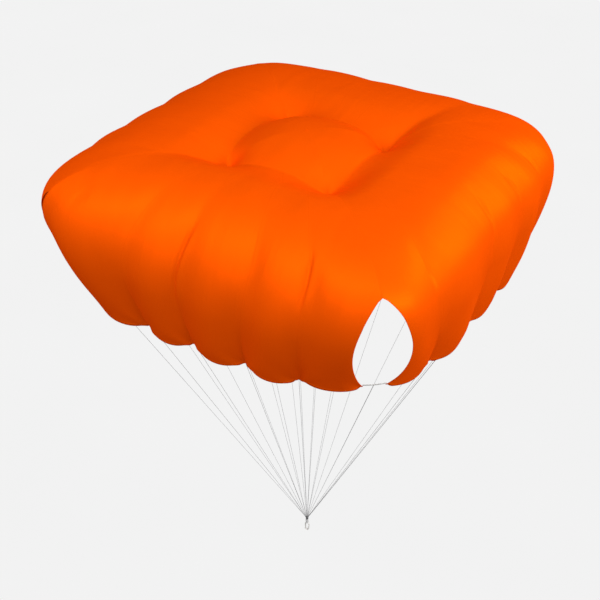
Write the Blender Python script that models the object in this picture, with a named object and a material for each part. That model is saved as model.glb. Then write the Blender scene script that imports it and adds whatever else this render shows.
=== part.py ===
"""Square reserve parachute, open and under load, in metres, +Z up.

The origin is on the riser loop's inner floor, where the harness pulls. The canopy's four sides face
-Y (front left), +X (front right), +Y (back right) and -X (back left). A place on the cloth is given by
its side, by s along the side (-1 to 1, corner to corner) and by t down the cloth (0 at the crown panel,
1 at the hem).
"""
import bpy
import bmesh
from math import atan2, cos, exp, hypot, pi, radians, sin
from mathutils import Vector

# Canopy
HALF_WIDTH = 2.05         # axis to the widest point of a side
CROWN_HALF = 0.53         # axis to a dimple, along X and along Y
CROWN_RISE = 0.58         # middle of the crown panel over the widest level
CROWN_ROUND = 2.8         # 2 is a dome, more is flatter with steeper sides
VALLEY_RISE = 0.455       # seam between crown and quarter panels, over the widest level
CREST_REACH = 1.02        # axis to the highest line of a quarter panel
CREST_RISE = 0.50         # that line over the widest level
HEM_REACH = 1.77          # axis to the hem
SKIRT_DROP = 0.92         # widest level down to the hem
SKIRT_CURVE = 1.6         # how late the skirt turns in
TOP_SQUARENESS = 6.0      # 2 is a circle, more is squarer
WIDE_SQUARENESS = 4.6
HEM_SQUARENESS = 3.8
SQUARENESS_FROM_T = 0.1   # from here down the cloth grows rounder in plan
SHOULDER_FULLNESS = 0.85  # 1 is an ellipse, less is fuller
HEM_SHIFT = Vector((0.04, 0.055, 0.0))   # the skirt hangs a little off the axis
CORNER_LIFT = 0.09        # the hem is this much higher at a corner
HEM_SAG = 0.028           # and this much lower in the middle of a gore
SAG_FROM_T = 0.75
CREST_T = 0.28
WIDE_T = 0.68

# Sides blown to a full round: slope in degrees at each distance down the cloth from the crest
ROUND_SLOPES = {
    "front_left": ((0.0, 0), (0.12, 6), (0.31, 22), (0.51, 36), (0.85, 57), (1.135, 79), (1.38, 94),
                   (1.95, 111)),
    "front_right": ((0.0, 0), (0.36, 3), (0.50, 16), (0.60, 32), (0.82, 41), (0.98, 50), (1.10, 76),
                    (1.24, 86), (1.45, 101), (2.127, 111.3)),
}
ROUND_STEPS = 72
ROUND_SPAN = 2.2          # 1 falls off evenly to the corners, more keeps it round nearly to them

# Dimples at the crown's corners
DIMPLE_DEPTH = 0.14
DIMPLE_RADIUS = 0.20      # on the quarter panels
DIMPLE_INNER_RADIUS = 0.30   # on the crown panel
DIMPLE_POINT = 1.1        # 1 is a cone, 2 is a bowl
CROWN_SOFT = 0.15         # rounds the cloth half way between two dimples

# The fold that runs out of each dimple: depth, length, width, and turn from the diagonal in radians
FOLDS = (
    dict(corner="front", depth=0.06, length=0.35, width=0.13, turn=0.0),
    dict(corner="right", depth=0.10, length=0.68, width=0.13, turn=-0.42),
    dict(corner="back", depth=0.08, length=0.50, width=0.12, turn=0.0),
    dict(corner="left", depth=0.08, length=0.45, width=0.12, turn=0.0),
)
FOLD_INNER = 0.14         # how far each fold runs back under the crown panel
FOLD_SOFT = 0.03          # radius of its bottom

# Gores of a side: swell out of line between the seams, which the hem lines hold in
SWELL_HEM = 0.08          # at the hem
SWELL_START_T = 0.42      # none above this
SWELL_GROWTH = 0.9
SWELL_ROUND = 2.2         # 2 is a round gore, more is flatter
SWELL_POINT_T = 0.72      # from here down the seams are pulled in sharply
SWELL_BALANCE = 0.45      # share of the swell that goes inwards at the seams
SEAM_TURN_T = 0.5         # the seams turn from their shoulder places to their hem places from here down
CREASE_WIDTH = 0.06       # along s
CREASE_T = 0.54           # where a seam's crease is deepest
CREASE_SPREAD = 0.12      # along t

# Corner vents
VENT_TOP_T = 8 / 14       # eight of the fourteen rows down
VENT_WIDTH = 0.155        # share of the side that a vent takes at its widest
VENT_FOOT = 0.085         # the same at the hem
VENT_LEAN = 0.9           # under 1 puts the widest place nearer the hem
VENT_ROUND = 0.8          # under 1 is fuller than a sine curve
VENT_FROM = 0.5           # share of the side, from its middle, that a vent leaves alone

# Cloth and mesh
CLOTH = 0.002
CLEARANCE = 0.0003
COLUMNS_PER_GORE = 6
GORES = 5
ROWS = 14
CROWN_STEPS = 10
SLOPE_STEP = 0.002        # t step over which the profile's slope is read

# Lines, sleeve and riser
LINE_WIDTH = 0.003
LINE_SEAT = 0.0005
FAN_DROP = 4.42           # widest level down to where the lines would meet
TAPE_WIDTH = 0.03
BUNDLE_RADIUS = 0.012
CENTRE_BUNDLE_RADIUS = 0.005
LINE_BEND = 0.03          # each line turns into the bundle over this length either side
SLEEVE_RADIUS = 0.0165
SLEEVE_WALL = 0.0024
SLEEVE_FLOOR = 0.005
SLEEVE_HEIGHT = 0.06
LOOP_HEIGHT = 0.10
LOOP_WIDTH = 0.046        # outside
WEBBING_WIDTH = 0.025
WEBBING = 0.003           # thickness
LOOP_CORNER = 0.008       # inner radius of the loop

LOOP_TOP = LOOP_HEIGHT + WEBBING
SLEEVE_BASE = LOOP_TOP + CLEARANCE
SLEEVE_TOP = SLEEVE_BASE + SLEEVE_HEIGHT
FAN_LEVEL = SLEEVE_TOP + LINE_BEND
WIDE_LEVEL = FAN_LEVEL + FAN_DROP

# One row for each side: how much deeper its valley is, how far it draws in at the vent at its start and
# at its end, the seams' s at the shoulder and at the hem, the crease in each seam, and each gore's swell
SIDES = (
    dict(name="front_left", valley=0.005, vent_share=(0.0, 0.85),
         shoulder=(-0.42, -0.11, 0.29, 0.61), hem=(-0.44, -0.14, 0.18, 0.50),
         crease=(0.018, 0.022, 0.020, 0.022), swell=(1.6, 0.95, 1.1, 1.0, 0.62)),
    dict(name="front_right", valley=0.035, vent_share=(1.0, 1.0),
         shoulder=(-0.64, -0.02, 0.30, 0.57), hem=(-0.52, -0.10, 0.24, 0.55),
         crease=(0.012, 0.006, 0.006, 0.008), swell=(0.85, 0.9, 0.8, 0.85, 1.0)),
    dict(name="back_right", valley=0.015, vent_share=(1.0, 1.0),
         shoulder=(-0.50, -0.18, 0.15, 0.50), hem=(-0.48, -0.16, 0.16, 0.49),
         crease=(0.006, 0.003, 0.008, 0.005), swell=(1.0, 0.95, 1.1, 1.0, 0.9)),
    dict(name="back_left", valley=0.0, vent_share=(1.0, 0.6),
         shoulder=(-0.47, -0.13, 0.20, 0.46), hem=(-0.49, -0.15, 0.17, 0.48),
         crease=(0.004, 0.008, 0.004, 0.007), swell=(0.9, 1.05, 0.95, 1.1, 1.0)),
)
CORNERS = ("front", "right", "back", "left")

ORANGE = (0.82, 0.085, 0.001, 1.0)
TAPE_WHITE = (0.75, 0.74, 0.72, 1.0)
LINE_GREY = (0.62, 0.62, 0.62, 1.0)
SLEEVE_GREY = (0.60, 0.60, 0.60, 1.0)
WEBBING_WHITE = (0.72, 0.71, 0.69, 1.0)


def ease(x):
    """0 to 1, level at both ends."""
    x = min(max(x, 0.0), 1.0)
    return x * x * (3 - 2 * x)


def mix(a, b, share):
    return a + (b - a) * share


def squareness(t):
    if t < WIDE_T:
        share = ease((t - SQUARENESS_FROM_T) / (WIDE_T - SQUARENESS_FROM_T))
        return mix(TOP_SQUARENESS, WIDE_SQUARENESS, share)
    return mix(WIDE_SQUARENESS, HEM_SQUARENESS, ease((t - WIDE_T) / (1 - WIDE_T)))


def profile(t):
    """Reach from the axis and height over the widest level, at the middle of a side."""
    crown_edge = CROWN_HALF * 2 ** (1 / TOP_SQUARENESS)
    if t < CREST_T:
        share = t / CREST_T
        return mix(crown_edge, CREST_REACH, share), mix(VALLEY_RISE, CREST_RISE, ease(share))
    if t < WIDE_T:
        turn = (t - CREST_T) / (WIDE_T - CREST_T) * pi / 2
        return mix(CREST_REACH, HALF_WIDTH, sin(turn)), CREST_RISE * max(cos(turn), 0.0) ** SHOULDER_FULLNESS
    share = (t - WIDE_T) / (1 - WIDE_T)
    return mix(HALF_WIDTH, HEM_REACH, share ** SKIRT_CURVE), -SKIRT_DROP * share


def slope_at(slopes, run):
    """Slope in degrees at a distance down the cloth from the crest, read between the table's rows."""
    for (start, low), (end, high) in zip(slopes, slopes[1:]):
        if run <= end:
            return mix(low, high, (run - start) / (end - start))
    return slopes[-1][1]


def round_places(slopes):
    """Reach and height of evenly spaced places from the crest to the hem, found by following the slopes."""
    step = slopes[-1][0] / ROUND_STEPS
    places = [(CREST_REACH, CREST_RISE)]
    for index in range(ROUND_STEPS):
        slope = radians(slope_at(slopes, (index + 0.5) * step))
        places.append((places[-1][0] + step * cos(slope), places[-1][1] - step * sin(slope)))
    return places


ROUND_PLACES = {name: round_places(slopes) for name, slopes in ROUND_SLOPES.items()}


def side_profile(side, s, t):
    """The profile at s of a side. A rounded side is round in its middle and tight at its corners."""
    tight = profile(t)
    name = SIDES[side]["name"]
    if t < CREST_T or name not in ROUND_PLACES:
        return tight
    place = (t - CREST_T) / (1 - CREST_T) * ROUND_STEPS
    first = min(int(place), ROUND_STEPS - 1)
    low, high = ROUND_PLACES[name][first], ROUND_PLACES[name][first + 1]
    full = mix(low[0], high[0], place - first), mix(low[1], high[1], place - first)
    share = 1 - abs(s) ** ROUND_SPAN
    return mix(tight[0], full[0], share), mix(tight[1], full[1], share)


def seams(side, t):
    """The s of the four seams of a side at t, with the two corners before and after them."""
    share = ease((t - SEAM_TURN_T) / (1 - SEAM_TURN_T))
    row = SIDES[side]
    between = [mix(high, low, share) for high, low in zip(row["shoulder"], row["hem"])]
    return [-1.0] + between + [1.0]


def gore_place(side, s, t):
    """Which gore of a side s and t are in, and how far across it from -1 to 1."""
    edges = seams(side, t)
    gore = sum(s >= edge for edge in edges[1:-1])
    return gore, 2 * (s - edges[gore]) / (edges[gore + 1] - edges[gore]) - 1


def swell(side, s, t):
    """How far the cloth stands out of line at s and t."""
    gore, across = gore_place(side, s, t)
    share = ease((t - SWELL_START_T) / (1 - SWELL_START_T)) ** SWELL_GROWTH
    soft, sharp = 0.5 + 0.5 * cos(pi * across), 1 - abs(across) ** SWELL_ROUND
    shape = mix(soft, sharp, ease((t - SWELL_POINT_T) / (1 - SWELL_POINT_T)))
    out = SIDES[side]["swell"][gore] * shape - SWELL_BALANCE
    creases = 0.0
    for edge, depth in zip(seams(side, t)[1:-1], SIDES[side]["crease"]):
        creases += depth * exp(-((s - edge) / CREASE_WIDTH) ** 2)
    return SWELL_HEM * share * out - creases * exp(-((t - CREASE_T) / CREASE_SPREAD) ** 2)


def past_vents(side, s, t):
    """s drawn in from the corners, so that the cloth leaves the vents open."""
    share = (t - VENT_TOP_T) / (1 - VENT_TOP_T)
    if share <= 0:
        return s
    share = min(share, 1.0)
    width = VENT_WIDTH * SIDES[side]["vent_share"][int(s > 0)]
    open_width = width * max(sin(pi * share ** VENT_LEAN), 0.0) ** VENT_ROUND
    limit = 1 - open_width - VENT_FOOT * ease(share)
    if abs(s) <= VENT_FROM:
        return s
    drawn = mix(VENT_FROM, limit, (abs(s) - VENT_FROM) / (1 - VENT_FROM))
    return drawn if s > 0 else -drawn


def corner_of(x, y):
    """Which corner's quarter of the plan a place is in: front, right, back or left."""
    if x > 0:
        return 0 if y < 0 else 1
    return 2 if y > 0 else 3


def sink(x, y):
    """Depth of the dimples, and of the folds that run out of them."""
    corner = corner_of(x, y)
    fold = FOLDS[corner]
    near = quarter_turns((x, y, 0), 4 - corner)
    middle = hypot(CROWN_HALF, CROWN_SOFT)
    from_dimple = Vector((hypot(near.x, CROWN_SOFT) - middle, hypot(near.y, CROWN_SOFT) - middle))
    inner = ease(0.5 - (from_dimple.x + from_dimple.y) / (2 * DIMPLE_INNER_RADIUS))
    radius = mix(DIMPLE_RADIUS, DIMPLE_INNER_RADIUS, inner)
    dimple = DIMPLE_DEPTH * exp(-(from_dimple.length / radius) ** DIMPLE_POINT)
    direction = Vector((cos(pi / 4 + fold["turn"]), sin(pi / 4 + fold["turn"])))
    along = from_dimple.dot(direction)
    beside = hypot(from_dimple.cross(direction), FOLD_SOFT) - FOLD_SOFT
    length = fold["length"] if along > 0 else FOLD_INNER
    return dimple + fold["depth"] * exp(-beside / fold["width"]) * exp(-(along / length) ** 2)


def quarter_turns(point, count):
    x, y, z = point
    for _ in range(count):
        x, y = -y, x
    return Vector((x, y, z))


def cloth_point(side, s, t):
    """Outer face of a quarter panel."""
    reach, height = side_profile(side, s, t)
    n = squareness(t)
    round_off = (1 + abs(s) ** n) ** (-1 / n)
    height -= SIDES[side]["valley"] * (1 - s ** 4) * ease(1 - t / CREST_T)
    height -= HEM_SAG * (1 - gore_place(side, s, t)[1] ** 2) * ease((t - SAG_FROM_T) / (1 - SAG_FROM_T))
    x = reach * s * round_off
    y = -reach * round_off
    lean_x = (1 if s > 0 else -1) * abs(s) ** (n - 1)
    level = hypot(lean_x, 1.0)
    near = side_profile(side, s, max(t - SLOPE_STEP, 0.0))
    far = side_profile(side, s, min(t + SLOPE_STEP, 1.0))
    run, rise = far[0] - near[0], far[1] - near[1]
    slope = hypot(run, rise)
    out = swell(side, s, t)
    x += lean_x / level * -rise / slope * out
    y -= 1 / level * -rise / slope * out
    height += run / slope * out + CORNER_LIFT * abs(s) ** 3 * ease((t - WIDE_T) / (1 - WIDE_T))
    point = quarter_turns((x, y, height), side)
    point.z -= sink(point.x, point.y)
    return point + HEM_SHIFT * ease(-height / SKIRT_DROP) + Vector((0, 0, WIDE_LEVEL))


def panel_point(side, u, v):
    """Outer face of a quarter panel at grid place u along the side and v down it, both 0 to 1."""
    if v == 0:
        return crown_edge_point(side, u)
    edges = seams(side, v)
    gore = min(int(u * GORES + 1e-6), GORES - 1)
    s = mix(edges[gore], edges[gore + 1], u * GORES - gore)
    return cloth_point(side, past_vents(side, s, v), v)


def crown_edge_point(side, u):
    """The quarter panel's upper edge, straight between the crown panel's edge points."""
    place = u * CROWN_STEPS
    first = min(int(place + 1e-6), CROWN_STEPS - 1)
    ends = [cloth_point(side, -1 + 2 * step / CROWN_STEPS, 0.0) for step in (first, first + 1)]
    return ends[0].lerp(ends[1], place - first)


def crown_point(p, q):
    """Outer face of the crown panel at p and q, both -1 to 1."""
    ring = max(abs(p), abs(q))
    if ring == 0:
        return Vector((0, 0, WIDE_LEVEL + CROWN_RISE))
    if abs(q) >= abs(p):
        side, s = (0, p / ring) if q < 0 else (2, -p / ring)
    else:
        side, s = (1, q / ring) if p > 0 else (3, -q / ring)
    edge = cloth_point(side, s, 0.0)
    inside = 1 - CLEARANCE / CROWN_HALF
    flat = Vector((p, q, 0)) * CROWN_HALF
    level = mix(flat, Vector((edge.x, edge.y, 0)) * ring, ring) * inside
    edge_height = edge.z + sink(edge.x, edge.y) - WIDE_LEVEL
    height = mix(CROWN_RISE, edge_height, ring ** CROWN_ROUND) - sink(level.x, level.y)
    if ring == 1:
        height = edge.z - WIDE_LEVEL
    return Vector((level.x, level.y, WIDE_LEVEL + height))


def finish(name, colour, roughness=0.6):
    material = bpy.data.materials.new(name)
    material.use_nodes = True
    shader = material.node_tree.nodes["Principled BSDF"]
    shader.inputs["Base Color"].default_value = colour
    shader.inputs["Roughness"].default_value = roughness
    shader.inputs["Metallic"].default_value = 0.0
    return material


def add_object(name, bm, material, smooth=True):
    mesh = bpy.data.meshes.new(name)
    bmesh.ops.recalc_face_normals(bm, faces=bm.faces[:])
    bm.to_mesh(mesh)
    bm.free()
    mesh.materials.append(material)
    if smooth:
        mesh.shade_smooth()
        mesh.set_sharp_from_angle(angle=pi / 3)
    piece = bpy.data.objects.new(name, mesh)
    bpy.context.collection.objects.link(piece)
    return piece


def sheet(name, columns, rows, place, material, keep_clear=None):
    """A grid of cloth put in place point by point, then given its thickness inwards."""
    bm = bmesh.new()
    bmesh.ops.create_grid(bm, x_segments=columns, y_segments=rows, size=1)
    for vert in bm.verts:
        u = round((vert.co.x + 1) / 2 * columns) / columns
        v = round((vert.co.y + 1) / 2 * rows) / rows
        vert.co = place(u, v)
    middle = sum((vert.co for vert in bm.verts), Vector()) / len(bm.verts)
    bm.normal_update()
    core = Vector((0, 0, middle.z - HALF_WIDTH))
    outward = sum(face.normal.dot(face.calc_center_median() - core) for face in bm.faces)
    if outward < 0:
        bmesh.ops.reverse_faces(bm, faces=bm.faces[:])
        bm.normal_update()
    bmesh.ops.solidify(bm, geom=bm.faces[:], thickness=CLOTH)
    if keep_clear:
        for vert in bm.verts:
            vert.co = keep_clear(vert.co)
    return add_object(name, bm, material)


def clear_of_diagonals(side):
    """Keeps a quarter panel half the clearance inside its two diagonal seams."""
    def keep(point):
        local = quarter_turns(point, 4 - side)
        over = CLEARANCE / 2 - (-local.y - abs(local.x)) / 2 ** 0.5
        if over <= 0 or point.z < WIDE_LEVEL:
            return point
        step = over / 2 ** 0.5
        inward = -step if local.x > 0 else step
        return quarter_turns((local.x + inward, local.y - step, local.z), side)
    return keep


def hem_rim(side, u):
    """Middle of the hem's edge."""
    low = panel_point(side, u, 1.0)
    high = panel_point(side, u, 1 - 1 / ROWS)
    before = panel_point(side, max(u - 0.5 / GORES / COLUMNS_PER_GORE, 0), 1.0)
    after = panel_point(side, min(u + 0.5 / GORES / COLUMNS_PER_GORE, 1), 1.0)
    down = (low - high).normalized()
    inward = down.cross(after - before).normalized()
    if inward.dot(Vector((low.x, low.y, 0))) > 0:
        inward = -inward
    return low + inward * CLOTH / 2


def tape_end(side, u, up, toward):
    """A point of a corner tape at a panel's end, up along the vent's edge by a length."""
    low = panel_point(side, u, 1.0)
    high = panel_point(side, u, 1 - 1 / ROWS)
    point = low.lerp(high, up / (high - low).length)
    gap = (toward - low).normalized() * CLEARANCE * 2
    return point + gap


def corner_tape(corner, material):
    """The hem tape across the foot of a vent, between two quarter panels."""
    after = (corner + 1) % 4
    left = panel_point(corner, 1.0, 1.0)
    right = panel_point(after, 0.0, 1.0)

    def place(u, v):
        start = tape_end(corner, 1.0, (1 - v) * TAPE_WIDTH, right)
        end = tape_end(after, 0.0, (1 - v) * TAPE_WIDTH, left)
        return start.lerp(end, u)
    return sheet("corner_tape_" + CORNERS[corner], 2, 1, place, material)


def line(name, start, angle, radius, material):
    """A line from its seat under the cloth to the sleeve, turning into the bundle at its end."""
    bundle = Vector((radius * cos(angle), radius * sin(angle), FAN_LEVEL))
    way_up = (start - bundle).normalized()
    bend_top = bundle + way_up * LINE_BEND
    bend_foot = bundle - Vector((0, 0, LINE_BEND))
    bend_middle = (bend_top + bundle * 2 + bend_foot) / 4
    foot = Vector((bundle.x, bundle.y, SLEEVE_BASE + SLEEVE_FLOOR + CLEARANCE))
    points = [start - way_up * LINE_SEAT, bend_top, bend_middle, bend_foot, foot]
    curve = bpy.data.curves.new(name, "CURVE")
    curve.dimensions = "3D"
    curve.bevel_depth = LINE_WIDTH / 2
    curve.bevel_resolution = 2
    curve.use_fill_caps = True
    spline = curve.splines.new("POLY")
    spline.points.add(len(points) - 1)
    for spot, point in zip(spline.points, points):
        spot.co = (*point, 1.0)
    curve.materials.append(material)
    piece = bpy.data.objects.new(name, curve)
    bpy.context.collection.objects.link(piece)
    return piece


def hem_lines(material):
    """Twenty lines, in order round the hem: each side's corner line, then its four seam lines."""
    number = 0
    for side in range(4):
        tape_start = panel_point(side - 1 if side else 3, 1.0, 1.0)
        tape_end_point = panel_point(side, 0.0, 1.0)
        seats = [(tape_start + tape_end_point) / 2]
        seats += [hem_rim(side, gore / GORES) for gore in range(1, GORES)]
        for step, seat in enumerate(seats):
            number += 1
            if step == 0:
                seat = seat - Vector((seat.x, seat.y, 0)).normalized() * CLOTH / 2
            angle = -3 * pi / 4 + pi / 2 * (side + step / GORES)
            line("line_hem_%02d" % number, seat, angle, BUNDLE_RADIUS, material)


def centre_lines(material):
    """One line up to each dimple."""
    for corner in range(4):
        dimple = cloth_point(corner, 1.0, 0.0)
        seat = dimple - Vector((0, 0, CLOTH * 2))
        angle = atan2(dimple.y, dimple.x)
        line("line_centre_" + CORNERS[corner], seat, angle, CENTRE_BUNDLE_RADIUS, material)


def line_sleeve(material):
    """A cup that holds the ends of the lines."""
    bm = bmesh.new()
    bmesh.ops.create_cone(bm, cap_ends=True, segments=24, radius1=SLEEVE_RADIUS,
                          radius2=SLEEVE_RADIUS, depth=SLEEVE_HEIGHT)
    bmesh.ops.translate(bm, vec=(0, 0, SLEEVE_BASE + SLEEVE_HEIGHT / 2), verts=bm.verts)
    top = max(bm.faces, key=lambda face: face.calc_center_median().z)
    bmesh.ops.inset_region(bm, faces=[top], thickness=SLEEVE_WALL, use_even_offset=True)
    floor = bmesh.ops.extrude_face_region(bm, geom=[top])["geom"]
    bmesh.ops.delete(bm, geom=[top], context="FACES_ONLY")
    low = [item for item in floor if isinstance(item, bmesh.types.BMVert)]
    bmesh.ops.translate(bm, vec=(0, 0, SLEEVE_FLOOR - SLEEVE_HEIGHT), verts=low)
    return add_object("line_sleeve", bm, material)


def rounded_ring(bm, width, height, corner, base):
    """The edges of an upright rounded rectangle in the XZ plane, standing on a level."""
    bmesh.ops.create_grid(bm, x_segments=1, y_segments=1, size=0.5)
    for vert in bm.verts:
        vert.co = Vector((vert.co.x * width, 0, base + (vert.co.y + 0.5) * height))
    bmesh.ops.bevel(bm, geom=bm.verts[:], offset=corner, segments=4, profile=0.5,
                    affect="VERTICES", material=-1)


def riser_loop(material):
    """A closed band of webbing. Its inner floor is flat, and is the origin."""
    bm = bmesh.new()
    rounded_ring(bm, LOOP_WIDTH, LOOP_HEIGHT + 2 * WEBBING, LOOP_CORNER + WEBBING, -WEBBING)
    face = bm.faces[:][0]
    bmesh.ops.inset_region(bm, faces=[face], thickness=WEBBING, use_even_offset=True, use_boundary=True)
    bmesh.ops.delete(bm, geom=[face], context="FACES_ONLY")
    walls = bmesh.ops.extrude_face_region(bm, geom=bm.faces[:])["geom"]
    moved = [item for item in walls if isinstance(item, bmesh.types.BMVert)]
    bmesh.ops.translate(bm, vec=(0, WEBBING_WIDTH, 0), verts=moved)
    bmesh.ops.translate(bm, vec=(0, -WEBBING_WIDTH / 2, 0), verts=bm.verts)
    return add_object("riser_loop", bm, material)


def main():
    for item in list(bpy.data.objects):
        bpy.data.objects.remove(item, do_unlink=True)
    cloth = finish("canopy_cloth", ORANGE, 0.45)
    tape = finish("hem_tape", TAPE_WHITE)
    cord = finish("line_braid", LINE_GREY)
    sleeve = finish("sleeve_rubber", SLEEVE_GREY)
    webbing = finish("riser_webbing", WEBBING_WHITE, 0.7)

    sheet("crown_panel", CROWN_STEPS, CROWN_STEPS, lambda u, v: crown_point(2 * u - 1, 2 * v - 1), cloth)
    for side, row in enumerate(SIDES):
        sheet("quarter_" + row["name"], GORES * COLUMNS_PER_GORE, ROWS,
              lambda u, v, side=side: panel_point(side, u, v), cloth, clear_of_diagonals(side))
        corner_tape(side, tape)
    hem_lines(cord)
    centre_lines(cord)
    line_sleeve(sleeve)
    riser_loop(webbing)


main()
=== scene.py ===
# %% [markdown]
# # A square reserve parachute
# A reserve parachute is the small canopy that a pilot throws when the main wing has failed. It is shown
# open and under load: four quarter panels of thin orange nylon stand up like a square cushion of air, and
# four centre lines pull the middle of the top down, so that a small square crown puffs up between four
# dimples. Twenty more lines run from the hem to one riser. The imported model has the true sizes, so
# everything here is made in its frame, in metres, and only the looks are new.

# %% Load the frame
from math import atan2, cos, exp, hypot, pi, radians, sin

import bmesh
import bpy
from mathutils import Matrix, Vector, noise


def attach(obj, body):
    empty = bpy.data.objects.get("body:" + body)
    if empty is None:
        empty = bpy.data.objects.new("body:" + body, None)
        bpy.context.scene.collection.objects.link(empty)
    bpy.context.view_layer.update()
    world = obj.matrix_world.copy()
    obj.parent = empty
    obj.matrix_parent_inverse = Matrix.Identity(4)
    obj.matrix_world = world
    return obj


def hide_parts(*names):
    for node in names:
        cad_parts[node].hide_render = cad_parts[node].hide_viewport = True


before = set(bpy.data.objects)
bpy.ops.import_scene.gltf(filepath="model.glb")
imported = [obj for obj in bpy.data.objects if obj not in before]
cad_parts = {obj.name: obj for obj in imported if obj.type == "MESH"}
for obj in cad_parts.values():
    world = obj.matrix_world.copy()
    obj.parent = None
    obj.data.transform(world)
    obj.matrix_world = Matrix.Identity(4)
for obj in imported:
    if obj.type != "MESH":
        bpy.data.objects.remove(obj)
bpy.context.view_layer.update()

print("nodes in the frame:", len(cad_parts))

# %% [markdown]
# ## Camera
# The photograph looks down on the canopy from beside its front corner. A camera could be placed by eye,
# but a canopy has few straight edges to line up. Its place was worked out from the outline, the dimples
# and the hem's notches, so here it is put on a ball round one aim point, by two angles and a distance.

# %% Camera
WIDE_LEVEL = 4.6133          # the canopy's widest level over the riser loop
HALF_WIDTH = 2.05
AIM_DROP = 0.654             # the aim point's share of that width under the widest level
AIM = Vector((0.0, 0.0, WIDE_LEVEL - AIM_DROP * HALF_WIDTH))
CAMERA_TURN = 0.540          # from straight before the front left side, towards the front right one
CAMERA_RISE = 0.592
CAMERA_DISTANCE = 11.20
LENS = 65.8
SENSOR = 36.0
SHIFT = -0.0118


def place(name, data):
    """A new object in the scene."""
    made = bpy.data.objects.new(name, data)
    bpy.context.collection.objects.link(made)
    return made


def on_ball(turn, rise, distance):
    """A point round the aim point, by its turn from -Y towards +X and its rise, both in radians."""
    way = Vector((sin(turn) * cos(rise), -cos(turn) * cos(rise), sin(rise)))
    return AIM + way * distance


def look_at_aim(thing, place):
    thing.location = place
    thing.rotation_euler = (AIM - place).to_track_quat("-Z", "Y").to_euler()


camera_data = bpy.data.cameras.new("photo_camera")
camera_data.lens = LENS
camera_data.sensor_width = SENSOR
camera_data.shift_x = SHIFT
camera_data.clip_end = 200.0
camera = place("photo_camera", camera_data)
look_at_aim(camera, on_ball(CAMERA_TURN, CAMERA_RISE, CAMERA_DISTANCE))
bpy.context.scene.camera = camera
print("camera at", [round(value, 2) for value in camera.location])

# %% [markdown]
# ## The shape of the cloth
# On the real canopy each side is one trapezoid of cloth, sewn from five strips, or gores. Air pressure
# gives it its shape: nearly flat on top, round at the shoulder and drawn in again at the hem. A cloth
# simulation could blow it up, but it would need the exact cut of the panels, and it would not keep to the
# solids. So the shape is given by a formula, the same as in the solids: a profile from the crown to the
# hem, and a rounded square in plan. A place on a side is s, along it from -1 to 1, and t, down it from 0
# to 1.

# %% Profile and plan
CROWN_HALF = 0.53
CROWN_RISE = 0.58
CROWN_ROUND = 2.8
VALLEY_RISE = 0.455
CREST_REACH = 1.02
CREST_RISE = 0.50
HEM_REACH = 1.77
SKIRT_DROP = 0.92
SKIRT_CURVE = 1.6
TOP_SQUARENESS = 6.0
WIDE_SQUARENESS = 4.6
HEM_SQUARENESS = 3.8
SQUARENESS_FROM_T = 0.1
SHOULDER_FULLNESS = 0.85
HEM_SHIFT = Vector((0.04, 0.055, 0.0))
CORNER_LIFT = 0.09
HEM_SAG = 0.028
SAG_FROM_T = 0.75
CREST_T = 0.28
WIDE_T = 0.68
ROUND_SLOPES = {
    "front_left": ((0.0, 0), (0.12, 6), (0.31, 22), (0.51, 36), (0.85, 57), (1.135, 79), (1.38, 94),
                   (1.95, 111)),
    "front_right": ((0.0, 0), (0.36, 3), (0.50, 16), (0.60, 32), (0.82, 41), (0.98, 50), (1.10, 76),
                    (1.24, 86), (1.45, 101), (2.127, 111.3)),
}
ROUND_STEPS = 72
ROUND_SPAN = 2.2


def ease(x):
    """0 to 1, level at both ends."""
    x = min(max(x, 0.0), 1.0)
    return x * x * (3 - 2 * x)


def mix(a, b, share):
    return a + (b - a) * share


def squareness(t):
    if t < WIDE_T:
        share = ease((t - SQUARENESS_FROM_T) / (WIDE_T - SQUARENESS_FROM_T))
        return mix(TOP_SQUARENESS, WIDE_SQUARENESS, share)
    return mix(WIDE_SQUARENESS, HEM_SQUARENESS, ease((t - WIDE_T) / (1 - WIDE_T)))


def profile(t):
    """Reach from the axis and height over the widest level, at the middle of a side."""
    crown_edge = CROWN_HALF * 2 ** (1 / TOP_SQUARENESS)
    if t < CREST_T:
        share = t / CREST_T
        return mix(crown_edge, CREST_REACH, share), mix(VALLEY_RISE, CREST_RISE, ease(share))
    if t < WIDE_T:
        turn = (t - CREST_T) / (WIDE_T - CREST_T) * pi / 2
        return mix(CREST_REACH, HALF_WIDTH, sin(turn)), CREST_RISE * max(cos(turn), 0.0) ** SHOULDER_FULLNESS
    share = (t - WIDE_T) / (1 - WIDE_T)
    return mix(HALF_WIDTH, HEM_REACH, share ** SKIRT_CURVE), -SKIRT_DROP * share


def slope_at(slopes, run):
    """Slope in degrees at a distance down the cloth from the crest, read between the table's rows."""
    for (start, low), (end, high) in zip(slopes, slopes[1:]):
        if run <= end:
            return mix(low, high, (run - start) / (end - start))
    return slopes[-1][1]


def round_places(slopes):
    """Reach and height of evenly spaced places from the crest to the hem, found by following the slopes."""
    step = slopes[-1][0] / ROUND_STEPS
    places = [(CREST_REACH, CREST_RISE)]
    for index in range(ROUND_STEPS):
        slope = radians(slope_at(slopes, (index + 0.5) * step))
        places.append((places[-1][0] + step * cos(slope), places[-1][1] - step * sin(slope)))
    return places


ROUND_PLACES = {name: round_places(slopes) for name, slopes in ROUND_SLOPES.items()}


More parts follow.
